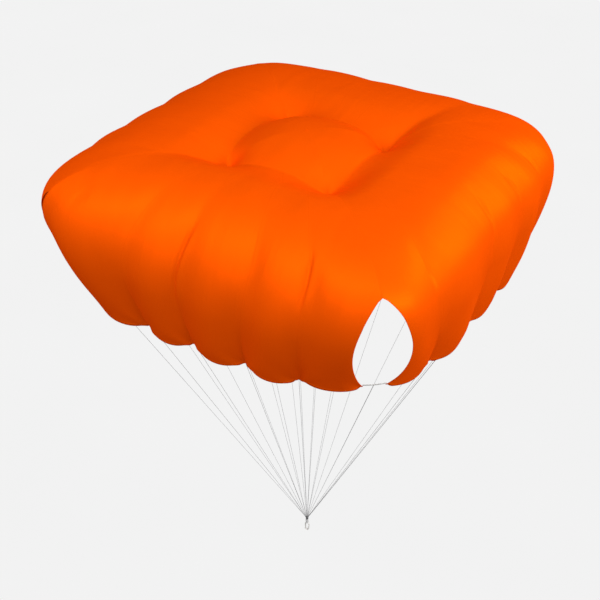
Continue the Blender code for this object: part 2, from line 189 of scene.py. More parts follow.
def side_profile(side, s, t):
    """The profile at s of a side. A rounded side is round in its middle and tight at its corners."""
    tight = profile(t)
    name = SIDES[side]["name"]
    if t < CREST_T or name not in ROUND_PLACES:
        return tight
    place = (t - CREST_T) / (1 - CREST_T) * ROUND_STEPS
    first = min(int(place), ROUND_STEPS - 1)
    low, high = ROUND_PLACES[name][first], ROUND_PLACES[name][first + 1]
    full = mix(low[0], high[0], place - first), mix(low[1], high[1], place - first)
    share = 1 - abs(s) ** ROUND_SPAN
    return mix(tight[0], full[0], share), mix(tight[1], full[1], share)


print("profile reach and height at the crown, crest, widest level and hem:",
      [tuple(round(value, 3) for value in profile(t)) for t in (0.0, CREST_T, WIDE_T, 1.0)])

# %% [markdown]
# ## Gores, seams and dimples
# The hem lines hold the cloth in along the seams, and each gore swells out between them, which makes the
# scalloped hem. Pressure doesn't make all gores alike, so each has its own swell, and each seam has its
# own place and its own crease at the shoulder. The centre lines pull in the dimples, and a fold runs out
# of each one towards the canopy's corner.

# %% Gores and dimples
GORES = 5
SWELL_HEM = 0.08
SWELL_START_T = 0.42
SWELL_GROWTH = 0.9
SWELL_ROUND = 2.2
SWELL_POINT_T = 0.72
SWELL_BALANCE = 0.45
SEAM_TURN_T = 0.5
CREASE_WIDTH = 0.06
CREASE_T = 0.54
CREASE_SPREAD = 0.12
SIDES = (
    dict(name="front_left", valley=0.005, vent_share=(0.0, 0.85),
         shoulder=(-0.42, -0.11, 0.29, 0.61), hem=(-0.44, -0.14, 0.18, 0.50),
         crease=(0.018, 0.022, 0.020, 0.022), swell=(1.6, 0.95, 1.1, 1.0, 0.62)),
    dict(name="front_right", valley=0.035, vent_share=(1.0, 1.0),
         shoulder=(-0.64, -0.02, 0.30, 0.57), hem=(-0.52, -0.10, 0.24, 0.55),
         crease=(0.012, 0.006, 0.006, 0.008), swell=(0.85, 0.9, 0.8, 0.85, 1.0)),
    dict(name="back_right", valley=0.015, vent_share=(1.0, 1.0),
         shoulder=(-0.50, -0.18, 0.15, 0.50), hem=(-0.48, -0.16, 0.16, 0.49),
         crease=(0.006, 0.003, 0.008, 0.005), swell=(1.0, 0.95, 1.1, 1.0, 0.9)),
    dict(name="back_left", valley=0.0, vent_share=(1.0, 0.6),
         shoulder=(-0.47, -0.13, 0.20, 0.46), hem=(-0.49, -0.15, 0.17, 0.48),
         crease=(0.004, 0.008, 0.004, 0.007), swell=(0.9, 1.05, 0.95, 1.1, 1.0)),
)
CORNERS = ("front", "right", "back", "left")
DIMPLE_DEPTH = 0.14
DIMPLE_RADIUS = 0.20
DIMPLE_INNER_RADIUS = 0.30
DIMPLE_POINT = 1.1
CROWN_SOFT = 0.15
FOLDS = (
    dict(corner="front", depth=0.06, length=0.35, width=0.13, turn=0.0),
    dict(corner="right", depth=0.10, length=0.68, width=0.13, turn=-0.42),
    dict(corner="back", depth=0.08, length=0.50, width=0.12, turn=0.0),
    dict(corner="left", depth=0.08, length=0.45, width=0.12, turn=0.0),
)
FOLD_INNER = 0.14
FOLD_SOFT = 0.03


def seams(side, t):
    """The s of a side's four seams at t, with the two corners before and after them."""
    share = ease((t - SEAM_TURN_T) / (1 - SEAM_TURN_T))
    row = SIDES[side]
    return [-1.0] + [mix(high, low, share) for high, low in zip(row["shoulder"], row["hem"])] + [1.0]


def gore_place(side, s, t):
    """Which gore of a side s and t are in, and how far across it from -1 to 1."""
    edges = seams(side, t)
    gore = sum(s >= edge for edge in edges[1:-1])
    return gore, 2 * (s - edges[gore]) / (edges[gore + 1] - edges[gore]) - 1


def swell(side, s, t):
    """How far the cloth stands out of line at s and t."""
    gore, across = gore_place(side, s, t)
    share = ease((t - SWELL_START_T) / (1 - SWELL_START_T)) ** SWELL_GROWTH
    soft, sharp = 0.5 + 0.5 * cos(pi * across), 1 - abs(across) ** SWELL_ROUND
    shape = mix(soft, sharp, ease((t - SWELL_POINT_T) / (1 - SWELL_POINT_T)))
    out = SIDES[side]["swell"][gore] * shape - SWELL_BALANCE
    creases = sum(depth * exp(-((s - edge) / CREASE_WIDTH) ** 2)
                  for edge, depth in zip(seams(side, t)[1:-1], SIDES[side]["crease"]))
    return SWELL_HEM * share * out - creases * exp(-((t - CREASE_T) / CREASE_SPREAD) ** 2)


def quarter_turns(point, count):
    x, y, z = point
    for _ in range(count):
        x, y = -y, x
    return Vector((x, y, z))


def sink(x, y):
    """Depth of the dimples, and of the folds that run out of them."""
    corner = (0 if y < 0 else 1) if x > 0 else (2 if y > 0 else 3)
    fold = FOLDS[corner]
    near = quarter_turns((x, y, 0), 4 - corner)
    middle = hypot(CROWN_HALF, CROWN_SOFT)
    from_dimple = Vector((hypot(near.x, CROWN_SOFT) - middle, hypot(near.y, CROWN_SOFT) - middle))
    inner = ease(0.5 - (from_dimple.x + from_dimple.y) / (2 * DIMPLE_INNER_RADIUS))
    radius = mix(DIMPLE_RADIUS, DIMPLE_INNER_RADIUS, inner)
    dimple = DIMPLE_DEPTH * exp(-(from_dimple.length / radius) ** DIMPLE_POINT)
    direction = Vector((cos(pi / 4 + fold["turn"]), sin(pi / 4 + fold["turn"])))
    along = from_dimple.dot(direction)
    beside = hypot(from_dimple.cross(direction), FOLD_SOFT) - FOLD_SOFT
    length = fold["length"] if along > 0 else FOLD_INNER
    return dimple + fold["depth"] * exp(-beside / fold["width"]) * exp(-(along / length) ** 2)


# %% [markdown]
# ## Vents
# The quarter panels are not sewn together over their whole height. Below the shoulder each corner is left
# open in the shape of a leaf, and the air that spills there steadies the descent. A hole could be cut in
# the finished sheet, but its edge would be ragged. Drawing the cloth in from the corner instead keeps the
# rows of the mesh whole, and gives the vent a clean edge for its hem.

# %% Vents and places on the cloth
VENT_TOP_T = 8 / 14
VENT_WIDTH = 0.155
VENT_FOOT = 0.085
VENT_LEAN = 0.9
VENT_ROUND = 0.8
VENT_FROM = 0.5
SLOPE_STEP = 0.002
SEAT_INSET = 0.001           # how far inside the cloth's face a hem line starts


def past_vents(side, s, t):
    """s drawn in from the corners, so that the cloth leaves the vents open."""
    share = min((t - VENT_TOP_T) / (1 - VENT_TOP_T), 1.0)
    if share <= 0 or abs(s) <= VENT_FROM:
        return s
    width = VENT_WIDTH * SIDES[side]["vent_share"][int(s > 0)]
    open_width = width * max(sin(pi * share ** VENT_LEAN), 0.0) ** VENT_ROUND
    limit = 1 - open_width - VENT_FOOT * ease(share)
    drawn = mix(VENT_FROM, limit, (abs(s) - VENT_FROM) / (1 - VENT_FROM))
    return drawn if s > 0 else -drawn


def cloth_point(side, s, t):
    """Outer face of the canopy at s and t of a side."""
    reach, height = side_profile(side, s, t)
    n = squareness(t)
    round_off = (1 + abs(s) ** n) ** (-1 / n)
    height -= SIDES[side]["valley"] * (1 - s ** 4) * ease(1 - t / CREST_T)
    height -= HEM_SAG * (1 - gore_place(side, s, t)[1] ** 2) * ease((t - SAG_FROM_T) / (1 - SAG_FROM_T))
    x, y = reach * s * round_off, -reach * round_off
    lean_x = (1 if s > 0 else -1) * abs(s) ** (n - 1)
    level = hypot(lean_x, 1.0)
    near, far = [side_profile(side, s, min(max(t + step, 0.0), 1.0)) for step in (-SLOPE_STEP, SLOPE_STEP)]
    run, rise = far[0] - near[0], far[1] - near[1]
    slope = hypot(run, rise)
    out = swell(side, s, t)
    x += lean_x / level * -rise / slope * out
    y -= 1 / level * -rise / slope * out
    height += run / slope * out + CORNER_LIFT * abs(s) ** 3 * ease((t - WIDE_T) / (1 - WIDE_T))
    point = quarter_turns((x, y, height), side)
    point.z -= sink(point.x, point.y)
    return point + HEM_SHIFT * ease(-height / SKIRT_DROP) + Vector((0, 0, WIDE_LEVEL))


def hem_seat(side, gore):
    """Where a hem line is sewn on, in the middle of the hem's edge at a seam."""
    s = past_vents(side, seams(side, 1.0)[gore], 1.0)
    low = cloth_point(side, s, 1.0)
    return low - Vector((low.x, low.y, 0)).normalized() * SEAT_INSET


print("vent corner at the hem:", [round(value, 3) for value in cloth_point(0, past_vents(0, 1.0, 1.0), 1.0)])

# %% [markdown]
# ## Lines
# Each line is a thin braid, sewn to the hem or under a dimple, and pulled straight by the load. All of
# them meet in a short bundle under the canopy's middle. A line could be a modelled tube, but a curve with
# a round bevel is simpler and stays exactly round. Its points turn it smoothly from the fan into the
# bundle. Each point carries the braid's radius, so the curve's own box is no bigger than the line.

# %% Lines
LINE_WIDTH = 0.003
FAN_LEVEL = 0.1933
FOOT_LEVEL = 0.1086
LINE_BEND = 0.03
BEND_STEPS = 8
BUNDLE_RADIUS = 0.012
CENTRE_BUNDLE_RADIUS = 0.005
CENTRE_START = 0.004         # under the dimple's outer face


def line_route(start, angle, radius):
    """Points from the cloth down to the sleeve, with a smooth bend at the fan's point."""
    bundle = Vector((radius * cos(angle), radius * sin(angle), FAN_LEVEL))
    way_up = (start - bundle).normalized()
    top, foot = bundle + way_up * LINE_BEND, bundle - Vector((0, 0, LINE_BEND))
    points = [start.lerp(top, step / 6) for step in range(6)]
    for step in range(BEND_STEPS + 1):
        share = step / BEND_STEPS
        points.append(top.lerp(bundle, share).lerp(bundle.lerp(foot, share), share))
    return points + [Vector((foot.x, foot.y, FOOT_LEVEL))]


def make_line(node, start, angle, radius):
    points = line_route(start, angle, radius)
    curve = bpy.data.curves.new("braid_" + node, "CURVE")
    curve.dimensions = "3D"
    curve.bevel_depth = 1.0
    curve.bevel_resolution = 2
    curve.use_fill_caps = True
    spline = curve.splines.new("POLY")
    spline.points.add(len(points) - 1)
    for spot, point in zip(spline.points, points):
        spot.co = (*point, 1.0)
        spot.radius = LINE_WIDTH / 2
    piece = place("braid_" + node, curve)
    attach(piece, "root")
    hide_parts(node)
    length = sum((b - a).length for a, b in zip(points, points[1:]))
    return piece, length


lines = []
for side in range(4):
    before = side - 1 if side else 3
    tape_middle = (cloth_point(before, past_vents(before, 1.0, 1.0), 1.0)
                   + cloth_point(side, past_vents(side, -1.0, 1.0), 1.0)) / 2
    seats = [tape_middle - Vector((tape_middle.x, tape_middle.y, 0)).normalized() * SEAT_INSET]
    seats += [hem_seat(side, gore) for gore in range(1, GORES)]
    for step, seat in enumerate(seats):
        angle = -3 * pi / 4 + pi / 2 * (side + step / GORES)
        lines.append(make_line("line_hem_%02d" % (len(lines) + 1), seat, angle, BUNDLE_RADIUS))
for corner, name in enumerate(CORNERS):
    dimple = cloth_point(corner, 1.0, 0.0)
    seat = dimple - Vector((0, 0, CENTRE_START))
    lines.append(make_line("line_centre_" + name, seat, atan2(dimple.y, dimple.x), CENTRE_BUNDLE_RADIUS))
lengths = [round(length, 2) for _, length in lines]
print("lines:", len(lines), "of", min(lengths), "to", max(lengths), "m")

# %% [markdown]
# ## Small folds
# Real cloth is never as even as a formula. Beside the main gores the photograph shows short creases where
# a seam pulls, puckers above the hem's notches, and a crowded edge at the top of each vent. The creases and
# puckers could be painted with a bump texture, but folds of this size change the outline, so they are moved
# in the mesh.
# Each crease is one row of a table: where it starts and ends, how deep it is and how wide.

# %% Small folds
SKIRT_LENGTH = 2.7           # crown to hem along the cloth
CREASES = (
    dict(side=0, start=(-0.79, 0.50), end=(-0.76, 0.60), depth=0.009, width=0.024),
    dict(side=0, start=(-0.11, 0.54), end=(-0.14, 0.77), depth=0.018, width=0.020),
    dict(side=0, start=(0.62, 0.49), end=(0.56, 0.64), depth=0.016, width=0.020),
    dict(side=1, start=(-0.64, 0.56), end=(-0.62, 0.67), depth=0.008, width=0.020),
    dict(side=1, start=(-0.01, 0.55), end=(-0.04, 0.71), depth=0.008, width=0.020),
    dict(side=1, start=(0.30, 0.55), end=(0.28, 0.65), depth=0.007, width=0.020),
    dict(side=1, start=(0.58, 0.54), end=(0.55, 0.62), depth=0.007, width=0.022),
    dict(side=2, start=(0.15, 0.60), end=(0.15, 0.72), depth=0.009, width=0.020),
    dict(side=3, start=(-0.13, 0.60), end=(-0.14, 0.72), depth=0.009, width=0.020),
)
RUN_OUT = 0.3                # a crease runs out over this share of its length past each end
RUN_OUT_EASE = 0.5
LIP_HEIGHT = 0.45            # the cloth that a crease pushes up beside it, in its depths and widths
LIP_PLACE = 2.2
LIP_WIDTH = 1.6
PUCKER_DEPTH = 0.012
PUCKER_REACH = 0.16
PUCKER_END = 4 * PUCKER_REACH
PUCKER_START = 0.03
PUCKER_FADE = 0.1
PUCKER_FAN = 7
WAVER = 0.007
WAVER_ACROSS, WAVER_DOWN = 3.1, 2.3
WAVER_SHIFT = Vector((7.3, 0.0, 0.4))
WAVER_PITCH = 1.3
CORNER_EASE, CROWN_EASE = 0.07, 0.12
NORMAL_STEP = 0.004


def crease_depth(crease, s, t):
    """A trough that is deepest at its middle and runs out at both ends."""
    reach = profile(t)[0]
    place = Vector((s * reach, t * SKIRT_LENGTH))
    start = Vector((crease["start"][0] * reach, crease["start"][1] * SKIRT_LENGTH))
    end = Vector((crease["end"][0] * reach, crease["end"][1] * SKIRT_LENGTH))
    run = end - start
    share = (place - start).dot(run) / run.length_squared
    if not -RUN_OUT < share < 1 + RUN_OUT:
        return 0.0
    beside = (place - start).cross(run) / run.length
    ends = ease((share + RUN_OUT) / RUN_OUT_EASE) * ease((1 + RUN_OUT - share) / RUN_OUT_EASE)
    width = crease["width"]
    lip = LIP_HEIGHT * exp(-((beside - LIP_PLACE * width) / (LIP_WIDTH * width)) ** 2)
    return crease["depth"] * ends * (exp(-(beside / width) ** 2) - lip)


def pucker(side, s, t):
    """Short fans of wrinkles above the places where the hem lines pull."""
    total = 0.0
    reach = profile(t)[0]
    up = (1 - t) * SKIRT_LENGTH
    if up > PUCKER_END:
        return 0.0
    for edge in seams(side, 1.0):
        beside = (s - past_vents(side, edge, 1.0)) * reach
        away = hypot(beside, up + PUCKER_START)
        if away < PUCKER_END:
            fan = PUCKER_FAN * atan2(beside, up + PUCKER_START)
            total += exp(-away / PUCKER_REACH) * cos(fan + 3 * edge + side) * min(away / PUCKER_FADE, 1.0)
    return PUCKER_DEPTH * total


def unevenness(side, s, t):
    """Everything that stands out of the smooth sheet, along its normal."""
    out = -sum(crease_depth(crease, s, t) for crease in CREASES if crease["side"] == side)
    out += pucker(side, s, t)
    waver_place = Vector((s * WAVER_ACROSS, t * WAVER_DOWN, 0.0)) + WAVER_SHIFT * side
    out += WAVER * noise.noise(waver_place * WAVER_PITCH) * ease((t - 0.1) / 0.3)
    return out * ease((1 - abs(s)) / CORNER_EASE) * ease(t / CROWN_EASE)


def folded_point(side, s, t):
    """The cloth with its small folds."""
    point = cloth_point(side, s, t)
    out = unevenness(side, s, t)
    if out == 0.0:
        return point
    across = cloth_point(side, s + NORMAL_STEP, t) - cloth_point(side, s - NORMAL_STEP, t)
    down = cloth_point(side, s, min(t + NORMAL_STEP, 1.0)) - cloth_point(side, s, t - NORMAL_STEP)
    return point + down.cross(across).normalized() * out


print("small creases:", len(CREASES))

# %% [markdown]
# ## The canopy
# The canopy is one continuous curved sheet, so it is made as one mesh: a grid for the crown and one for
# each side, all put in place point by point, with their shared edges merged. The last few centimetres
# carry the hem, where the cloth is turned up and stands a little proud. The cloth gets its thickness from
# a Solidify modifier, so that it can be seen from below and through the vents.
#
# Two sets of UV coordinates go with it, both in metres. The first lies flat along the cloth, for the
# weave. The second gives the distance across the nearest seam and up from the hem, for the sewing.

# %% Canopy mesh
GORE_COLUMNS = 22
SEAM_CROWDING = 0.6          # the columns stand closer beside the seams, where the creases are
COLUMNS = GORES * GORE_COLUMNS
ROWS = 70
HEM_BAND = 0.028
HEM_PROUD = 0.0015
CLOTH = 0.0015
NO_HEM = 1.0                 # farther above the hem than any sewing of it reaches


def row_places():
    """t of each row. The hem's fold has two rows of its own."""
    places = [row / ROWS for row in range(ROWS)]
    return places + [1 - HEM_BAND / SKIRT_LENGTH, 1 - (HEM_BAND - 0.003) / SKIRT_LENGTH, 1.0]


def side_place(side, u, t):
    """s of a column at t. The columns follow the seams, and even out towards the crown."""
    edges = seams(side, t)
    gore = min(int(u * GORES + 1e-6), GORES - 1)
    share = u * GORES - gore
    s = mix(edges[gore], edges[gore + 1], mix(share, ease(share), SEAM_CROWDING * ease(t / 0.4)))
    return past_vents(side, mix(2 * u - 1, s, ease(t / 0.15)), t)


def crown_place(p, q):
    """The crown between its four dimples, at p and q from -1 to 1."""
    ring = max(abs(p), abs(q))
    if ring == 0:
        return Vector((0, 0, WIDE_LEVEL + CROWN_RISE))
    if abs(q) >= abs(p):
        side, s = (0, p / ring) if q < 0 else (2, -p / ring)
    else:
        side, s = (1, q / ring) if p > 0 else (3, -q / ring)
    edge = cloth_point(side, s, 0.0)
    if ring > 1 - 1e-6:
        return edge
    flat = Vector((p, q, 0)) * CROWN_HALF
    level = mix(flat, Vector((edge.x, edge.y, 0)) * ring, ring)
    edge_height = edge.z + sink(edge.x, edge.y) - WIDE_LEVEL
    height = mix(CROWN_RISE, edge_height, ring ** CROWN_ROUND) - sink(level.x, level.y)
    return Vector((level.x, level.y, WIDE_LEVEL + height))


def grid_of(bm, columns, rows):
    """A new grid in the mesh, as rows of its vertices."""
    made = bmesh.ops.create_grid(bm, x_segments=columns, y_segments=rows, size=1)["verts"]
    table = [[None] * (columns + 1) for _ in range(rows + 1)]
    for vert in made:
        table[round((vert.co.y + 1) / 2 * rows)][round((vert.co.x + 1) / 2 * columns)] = vert
    return table


def running(points):
    """Distance along a row of points."""
    total = [0.0]
    for a, b in zip(points, points[1:]):
        total.append(total[-1] + (b - a).length)
    return total


def set_uvs(table, cloth_uv, seam_uv, weave_at, seam_at):
    """Writes both UV maps face by face, so that each face keeps to its own nearest seam."""
    spots = {vert: (column, row) for row, verts in enumerate(table) for column, vert in enumerate(verts)}
    for face in {face for verts in table for vert in verts for face in vert.link_faces}:
        middle = sum((Vector(spots[vert]) for vert in face.verts), Vector((0, 0))) / 4
        for loop in face.loops:
            loop[cloth_uv].uv = weave_at(*spots[loop.vert])
            loop[seam_uv].uv = seam_at(*spots[loop.vert], middle)


def mesh_piece(name, bm):
    """A new object in the scene with the mesh that was built."""
    mesh = bpy.data.meshes.new(name)
    bm.to_mesh(mesh)
    bm.free()
    return place(name, mesh)


bm = bmesh.new()
weave_layer = bm.loops.layers.uv.new("weave")
seam_layer = bm.loops.layers.uv.new("seams")

crown = grid_of(bm, COLUMNS, COLUMNS)
for row, verts in enumerate(crown):
    for column, vert in enumerate(verts):
        vert.co = crown_place(2 * column / COLUMNS - 1, 2 * row / COLUMNS - 1)


def crown_weave(column, row):
    return (column / COLUMNS * 2 - 1) * CROWN_HALF, (row / COLUMNS * 2 - 1) * CROWN_HALF


def crown_seam(column, row, middle):
    to_edge = [middle.x, COLUMNS - middle.x, middle.y, COLUMNS - middle.y]
    nearest = to_edge.index(min(to_edge))
    across = [column, COLUMNS - column, row, COLUMNS - row][nearest] * 2 * CROWN_HALF / COLUMNS
    along = (row if nearest < 2 else column) * 2 * CROWN_HALF / COLUMNS
    return across, along + NO_HEM


set_uvs(crown, weave_layer, seam_layer, crown_weave, crown_seam)

rows_t = row_places()
for side in range(4):
    table = grid_of(bm, COLUMNS, len(rows_t) - 1)
    for row, verts in enumerate(table):
        t = rows_t[row]
        proud = HEM_PROUD if row >= len(rows_t) - 2 else 0.0
        for column, vert in enumerate(verts):
            s = side_place(side, column / COLUMNS, t)
            vert.co = folded_point(side, s, t)
            vert.co += Vector((vert.co.x, vert.co.y, 0)).normalized() * proud
    across = [running([vert.co for vert in verts]) for verts in table]
    down = running([verts[COLUMNS // 2].co for verts in table])

    def side_weave(column, row, across=across, down=down):
        return across[row][column] - across[row][COLUMNS // 2], -down[row]

    def side_seam(column, row, middle, across=across, down=down):
        seam = round(middle.x / GORE_COLUMNS) * GORE_COLUMNS
        return across[row][column] - across[row][seam], down[-1] - down[row]

    set_uvs(table, weave_layer, seam_layer, side_weave, side_seam)

bmesh.ops.remove_doubles(bm, verts=bm.verts[:], dist=0.0005)
bmesh.ops.recalc_face_normals(bm, faces=bm.faces[:])
top_face = max(bm.faces, key=lambda face: face.calc_center_median().z)
if top_face.normal.z < 0:
    bmesh.ops.reverse_faces(bm, faces=bm.faces[:])
canopy_area = sum(face.calc_area() for face in bm.faces)
canopy = mesh_piece("canopy_sheet", bm)
canopy_mesh = canopy.data
canopy_mesh.shade_smooth()
wall = canopy.modifiers.new("cloth", "SOLIDIFY")
wall.thickness = CLOTH
wall.offset = -1.0
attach(canopy, "root")
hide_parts("crown_panel", *["quarter_" + row["name"] for row in SIDES])
print("canopy faces:", len(canopy_mesh.polygons), "area:", round(canopy_area, 2), "m2")

# %% [markdown]
# ## Corner tapes
# A short tape joins the two panels across the foot of each vent, so that the hem stays whole. It is a
# narrow woven band under tension. It could be cut from a box, but then it would lie flat while the hem
# curves, so it is a small grid between the two panel ends that bows a little, with its own thickness.

# %% Corner tapes
TAPE_WIDTH = 0.03
TAPE_THICKNESS = 0.0014
TAPE_BOW = 0.006
PANEL_GAP = 0.0006
CAD_ROWS = 14
TAPE_COLUMNS, TAPE_ROWS = 24, 4
BOW_OUT, BOW_DOWN = 0.6, 0.4


def tape_corner(side, s_end, up, toward):
    """A point of a tape's end, up along the vent's edge by a length."""
    low = cloth_point(side, past_vents(side, s_end, 1.0), 1.0)
    high = cloth_point(side, past_vents(side, s_end, 1 - 1 / CAD_ROWS), 1 - 1 / CAD_ROWS)
    return low.lerp(high, up / (high - low).length) + (toward - low).normalized() * PANEL_GAP


def add_piece(name, bm, slot, *nodes):
    """A finished mesh that rides with the part and stands for its solids."""
    piece = mesh_piece(name, bm)
    piece.data.shade_smooth()
    piece.data.set_sharp_from_angle(angle=pi / 4)
    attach(piece, "root")
    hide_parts(*nodes)
    return piece


tapes = []
for corner, name in enumerate(CORNERS):
    after = (corner + 1) % 4
    left = cloth_point(corner, past_vents(corner, 1.0, 1.0), 1.0)
    right = cloth_point(after, past_vents(after, -1.0, 1.0), 1.0)
    outward = Vector((left.x + right.x, left.y + right.y, 0)).normalized()
    bm = bmesh.new()
    uv_layer = bm.loops.layers.uv.new("weave")
    table = grid_of(bm, TAPE_COLUMNS, TAPE_ROWS)
    spots = {}
    for row, verts in enumerate(table):
        up = (TAPE_ROWS - row) / TAPE_ROWS * TAPE_WIDTH
        start, end = tape_corner(corner, 1.0, up, right), tape_corner(after, -1.0, up, left)
        for column, vert in enumerate(verts):
            share = column / TAPE_COLUMNS
            bow = (outward * BOW_OUT - Vector((0, 0, BOW_DOWN))) * sin(pi * share) * TAPE_BOW
            vert.co = start.lerp(end, share) + bow
            spots[vert] = (share * (end - start).length, up)
    for face in bm.faces:
        for loop in face.loops:
            loop[uv_layer].uv = spots[loop.vert]
    bmesh.ops.recalc_face_normals(bm, faces=bm.faces[:])
    if sum(face.normal.dot(outward) for face in bm.faces) < 0:
        bmesh.ops.reverse_faces(bm, faces=bm.faces[:])
    tape = add_piece("tape_" + name, bm, "hem_tape", "corner_tape_" + name)
    wall = tape.modifiers.new("webbing", "SOLIDIFY")
    wall.thickness = TAPE_THICKNESS
    wall.offset = -1.0
    tapes.append(tape)

# %% [markdown]
# ## Sleeve
# Where all the lines meet, a short rubber sleeve keeps them together and off the link. A plain cylinder
# would do for its size. The real one is moulded, with rounded lips and shallow grip rings, so its section
# is drawn once and spun round the axis.

# %% Sleeve
SLEEVE_BASE = 0.1033
SLEEVE_HEIGHT = 0.06
SLEEVE_RADIUS = 0.0165
SLEEVE_WALL = 0.0024
SLEEVE_FLOOR = 0.005
RING_COUNT = 6
RING_DEPTH = 0.0005
LIP = 0.0011
FOOT_EDGE = 0.003
GRIP_FOOT, GRIP_TOP = 0.008, 0.044

section = [Vector((0.0, 0, SLEEVE_BASE)), Vector((SLEEVE_RADIUS - FOOT_EDGE, 0, SLEEVE_BASE))]
for step in range(1, 6):
    turn = step / 5 * pi / 2
    edge_reach = SLEEVE_RADIUS - FOOT_EDGE * (1 - sin(turn))
    section.append(Vector((edge_reach, 0, SLEEVE_BASE + FOOT_EDGE * (1 - cos(turn)))))
for step in range(RING_COUNT * 8 + 1):
    share = step / (RING_COUNT * 8)
    dip = RING_DEPTH * (0.5 - 0.5 * cos(2 * pi * RING_COUNT * share))
    section.append(Vector((SLEEVE_RADIUS - dip, 0, SLEEVE_BASE + mix(GRIP_FOOT, GRIP_TOP, share))))
lip_level = SLEEVE_BASE + SLEEVE_HEIGHT - LIP
for step in range(9):
    turn = step / 8 * pi
    lip_reach = SLEEVE_RADIUS - SLEEVE_WALL / 2 * (1 - cos(turn))
    section.append(Vector((lip_reach, 0, lip_level + LIP * sin(turn))))
section.append(Vector((SLEEVE_RADIUS - SLEEVE_WALL, 0, SLEEVE_BASE + SLEEVE_FLOOR)))
section.append(Vector((0.0, 0, SLEEVE_BASE + SLEEVE_FLOOR)))

bm = bmesh.new()
verts = [bm.verts.new(point) for point in section]
edges = [bm.edges.new(pair) for pair in zip(verts, verts[1:])]
bmesh.ops.spin(bm, geom=verts + edges, cent=(0, 0, 0), axis=(0, 0, 1), angle=2 * pi, steps=48, use_merge=True)
bmesh.ops.remove_doubles(bm, verts=bm.verts[:], dist=0.00002)
bmesh.ops.recalc_face_normals(bm, faces=bm.faces[:])
sleeve = add_piece("moulded_sleeve", bm, "sleeve_rubber", "line_sleeve")
print("sleeve faces:", len(sleeve.data.polygons))

# %% [markdown]
# ## Riser loop
# The riser takes the whole load, so it is thick flat webbing, closed into a loop by a sewn lap. It could
# be bent from a curve with a flat bevel, but a closed band is simpler to make from one rounded frame: a
# flat face with rounded corners is inset to the webbing's thickness, and the ring that is left is drawn
# out to its width. The lap is a second layer outside one leg.

# %% Riser loop
LOOP_HEIGHT = 0.10
LOOP_WIDTH = 0.046
WEBBING = 0.003
WEBBING_WIDTH = 0.025
LOOP_CORNER = 0.008
LAP_LENGTH = 0.058
LAP_THICKNESS = 0.0028
LAP_SINK = 0.0002
WEBBING_EDGE = 0.0007
LAP_EDGE = 0.0011
LAP_NARROWER = 0.98

bm = bmesh.new()
bmesh.ops.create_grid(bm, x_segments=1, y_segments=1, size=0.5)
for vert in bm.verts:
    vert.co = Vector((vert.co.x * LOOP_WIDTH, 0, -WEBBING + (vert.co.y + 0.5) * (LOOP_HEIGHT + 2 * WEBBING)))
bmesh.ops.bevel(bm, geom=bm.verts[:], offset=LOOP_CORNER + WEBBING, segments=10, profile=0.5,
                affect="VERTICES", material=-1)
face = bm.faces[:][0]
bmesh.ops.inset_region(bm, faces=[face], thickness=WEBBING, use_even_offset=True, use_boundary=True)
bmesh.ops.delete(bm, geom=[face], context="FACES_ONLY")
moved = [item for item in bmesh.ops.extrude_face_region(bm, geom=bm.faces[:])["geom"]
         if isinstance(item, bmesh.types.BMVert)]
bmesh.ops.translate(bm, vec=(0, WEBBING_WIDTH, 0), verts=moved)
bmesh.ops.translate(bm, vec=(0, -WEBBING_WIDTH / 2, 0), verts=bm.verts[:])
rims = [edge for edge in bm.edges if len(edge.link_faces) == 2 and edge.calc_face_angle(0) > 1.2]
bmesh.ops.bevel(bm, geom=rims, offset=WEBBING_EDGE, segments=2, profile=0.5, affect="EDGES", material=-1)
lap = bmesh.ops.create_cube(bm, size=1)["verts"]
for vert in lap:
    vert.co = Vector((vert.co.x * LAP_THICKNESS, vert.co.y * WEBBING_WIDTH * LAP_NARROWER,
                      vert.co.z * LAP_LENGTH))
bmesh.ops.translate(bm, vec=(LOOP_WIDTH / 2 + LAP_THICKNESS / 2 - LAP_SINK, 0, LOOP_HEIGHT / 2), verts=lap)
lap_edges = list({edge for vert in lap for edge in vert.link_edges})
bmesh.ops.bevel(bm, geom=lap_edges, offset=LAP_EDGE, segments=3, profile=0.5, affect="EDGES", material=-1)
bmesh.ops.recalc_face_normals(bm, faces=bm.faces[:])
riser = add_piece("riser_webbing_loop", bm, "riser_webbing", "riser_loop")
print("riser faces:", len(riser.data.polygons))

# %% [markdown]
# ## Effects that the materials share
# Four effects come back in several finishes: a thread pattern, rows of stitches, a slow mottle, and the
# raised band of a seam. They could be built anew in every material. A node group with named inputs keeps
# them alike, and each material gives it its own sizes in metres.

# %% Node helpers
def put(tree, socket, value):
    """Gives an input its value, or a link from another node's output."""
    if isinstance(value, bpy.types.NodeSocket):
        tree.links.new(value, socket)
    else:
        socket.default_value = value


def fill(tree, node, **values):
    """Does that for a node's named inputs, and gives the node's outputs."""
    for key, value in values.items():
        put(tree, node.inputs[key.replace("_", " ")], value)
    return node.outputs


def add_node(tree, kind, **values):
    return fill(tree, tree.nodes.new("ShaderNode" + kind), **values)


def math_node(tree, operation, *values, clamp=False):
    """The result of a Math node, from numbers or other nodes' outputs."""
    node = tree.nodes.new("ShaderNodeMath")
    node.operation = operation
    node.use_clamp = clamp
    for socket, value in zip(node.inputs, values):
        put(tree, socket, value)
    return node.outputs[0]


def split_of(tree, vector):
    return add_node(tree, "SeparateXYZ", Vector=vector)


